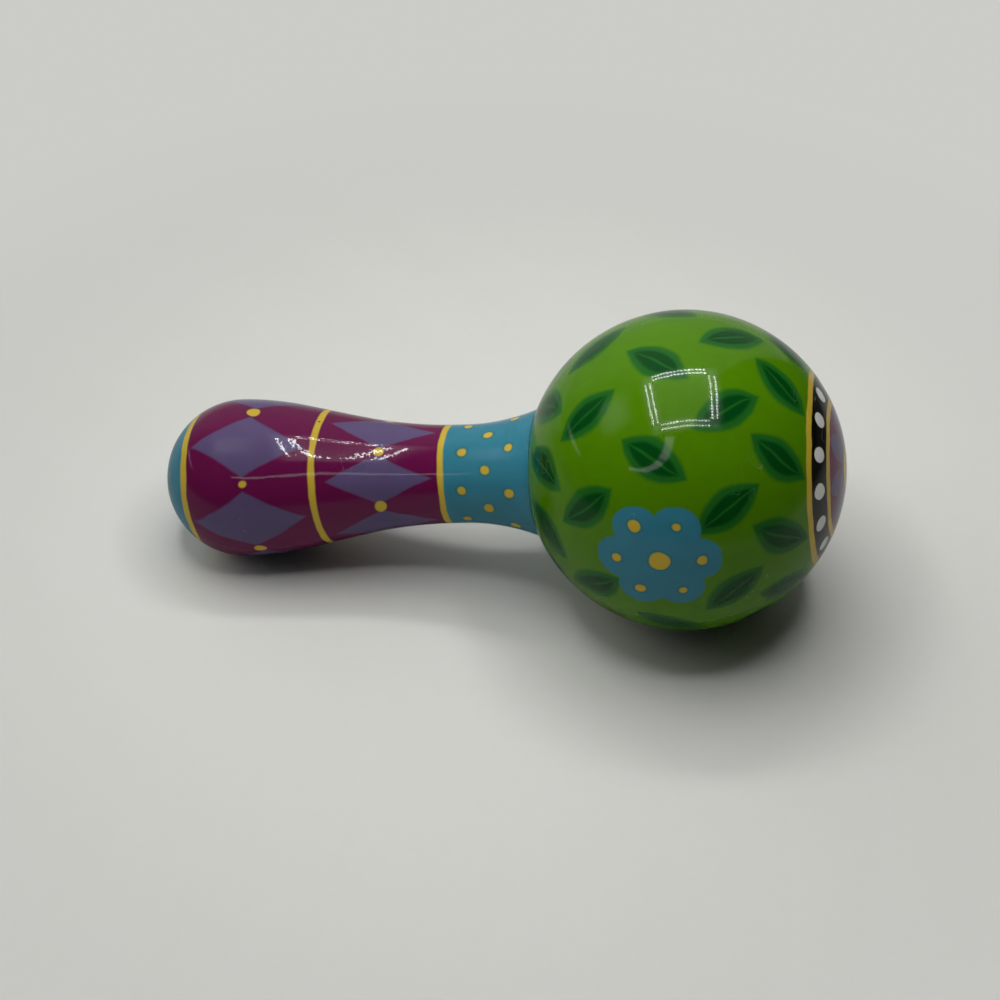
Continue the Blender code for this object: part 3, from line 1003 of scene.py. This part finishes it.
def pale_floor(colours):
    """Floor plane whose far part is a plain pale ground for the camera, dimmed in the gloss as painted shade.
    """
    half = FLOOR_HALF
    corners = [(-half, -half, 0.0), (half, -half, 0.0), (half, half, 0.0), (-half, half, 0.0)]
    mesh = bpy.data.meshes.new("floor")
    mesh.from_pydata(corners, [], [(0, 1, 2, 3)])
    floor = bpy.data.objects.new("floor", mesh)
    bpy.context.scene.collection.objects.link(floor)

    material, wire = new_finish("pale_floor")
    place = wire.node("ShaderNodeTexCoord", output="Object")
    away = wire.node("ShaderNodeVectorMath", {"operation": "LENGTH"}, {0: place}, "Value")
    seen = seen_rays(wire)
    mirrored = wire.node("ShaderNodeLightPath", output="Is Glossy Ray")
    # Painted shade in the gloss: the floor is darker in front of the shaker and far from it, brighter behind
    # and to the left
    behind = rise(facing(place, WALL_BEHIND), *FLOOR_BEHIND_EDGE)
    left = rise(facing(place, WALL_LEFT), *FLOOR_LEFT_EDGE)
    near = FLOOR_IN_FRONT + behind * (FLOOR_BEHIND - FLOOR_IN_FRONT)
    far = FAR_FLOOR + behind * left * (FAR_FLOOR_BEHIND - FAR_FLOOR)
    gloss = near + rise(away, *FAR_FROM) * (far - near)
    dim = 1.0 - mirrored * (1.0 - gloss)
    weave = wire.node("ShaderNodeTexNoise", {}, {"Vector": place, **WEAVE_NOISE})
    shade = (1.0 - WEAVE_SHADE / 2 + weave * WEAVE_SHADE) * dim * (1.0 - seen * (1.0 - FLOOR_SEEN))
    colour = wire.node(
        "ShaderNodeVectorMath", {"operation": "SCALE"}, {0: colours.floor[:3], "Scale": shade})
    matt = wire.node("ShaderNodeBsdfPrincipled", {}, {"Base Color": colour, "Roughness": FLOOR_ROUGHNESS})
    plain = wire.node("ShaderNodeEmission", {}, {"Color": PALE, "Strength": dim})
    ground = rise(away, *LIT_FLOOR) * seen
    mixed = wire.node("ShaderNodeMixShader", {}, {0: ground, 1: matt, 2: plain})
    wire.node("ShaderNodeOutputMaterial", {}, {"Surface": mixed})
    mesh.materials.append(material)


def seen_rays(wire):
    """1 for rays that show a surface to the camera, directly, in a mirror or through something clear."""
    camera = wire.node("ShaderNodeLightPath", output="Is Camera Ray")
    glossy, through = camera.twin("Is Glossy Ray"), camera.twin("Is Transmission Ray")
    return camera.math("MAXIMUM", glossy.math("MAXIMUM", through))


def room(stage):
    """Room light: pale to the left, behind and above the shaker, and dark on the camera's side.

    The gloss shows a pale wall there instead, which ends a little to the right.
    """
    world = bpy.data.worlds.new("room")
    world.use_nodes = True
    world.node_tree.nodes.clear()
    wire = Wire(world.node_tree)
    way = wire.node("ShaderNodeTexCoord", output="Generated")
    direct = wire.node("ShaderNodeLightPath", output="Is Camera Ray")
    mirrored = direct.twin("Is Glossy Ray")
    level = 0.0
    for side, narrow, share in ROOM_SIDES:
        level = facing(way, side).math("MAXIMUM", 0.0) ** narrow * (share * stage.room_light) + level
    wall = rise(facing(way, WALL_LEFT), *WALL_LEFT_EDGE)
    wall = wall * rise(facing(way, WALL_BEHIND), *WALL_BEHIND_EDGE)
    wall = wall * (facing(way, WALL_BRIGHTER_ABOVE) + WALL_LEVEL) * stage.wall_glint
    lit = wire.node(
        "ShaderNodeBackground", {},
        {"Color": ROOM_COLOUR, "Strength": level + mirrored * (wall - level)})
    plain = wire.node("ShaderNodeBackground", {}, {"Color": PALE, "Strength": 1.0})
    mixed = wire.node("ShaderNodeMixShader", {}, {0: direct, 1: lit, 2: plain})
    wire.node("ShaderNodeOutputWorld", {}, {"Surface": mixed})
    bpy.context.scene.world = world


class SHAKER_OT_stage(bpy.types.Operator):
    """Make the floor, the lamps, the room and the camera"""

    bl_idname = "shaker.stage"
    bl_label = "Stage"

    def execute(self, context):
        scene = context.scene
        pale_floor(scene.shaker_colours)
        lamp_frame(scene.shaker_stage)
        side_glints(scene.shaker_stage)
        room(scene.shaker_stage)
        picture_camera(scene.shaker_stage, scene.shaker_sizes.ball_diameter / 2)
        scene.view_settings.view_transform = "Standard"
        return {"FINISHED"}


class SHAKER_PT_pieces(bpy.types.Panel):
    """Sidebar list of the pieces, with their sizes and colours"""

    bl_idname = "SHAKER_PT_pieces"
    bl_label = "Painted wooden shaker"
    bl_space_type = "VIEW_3D"
    bl_region_type = "UI"
    bl_category = "Shaker"

    def draw(self, context):
        layout = self.layout
        for operator in OPERATORS:
            layout.operator(operator.bl_idname)
        for group in GROUPS:
            box = layout.box()
            settings = getattr(context.scene, group)
            for name in settings.__annotations__:
                box.prop(settings, name)


OPERATORS = (SHAKER_OT_stage, SHAKER_OT_handle, SHAKER_OT_ball, SHAKER_OT_pellets)
GROUPS = {
    "shaker_sizes": ShakerSizes,
    "shaker_colours": ShakerColours,
    "shaker_stage": ShakerStage,
}


def register():
    for made in (*GROUPS.values(), *OPERATORS, SHAKER_PT_pieces):
        bpy.utils.register_class(made)
    for name, group in GROUPS.items():
        setattr(bpy.types.Scene, name, PointerProperty(type=group))


def unregister():
    for name in GROUPS:
        delattr(bpy.types.Scene, name)
    for made in (SHAKER_PT_pieces, *reversed(OPERATORS), *GROUPS.values()):
        bpy.utils.unregister_class(made)


def main():
    register()
    bpy.ops.shaker.stage()
    bpy.ops.shaker.handle()
    bpy.ops.shaker.ball()
    bpy.ops.shaker.pellets()


if __name__ == "__main__":
    main()
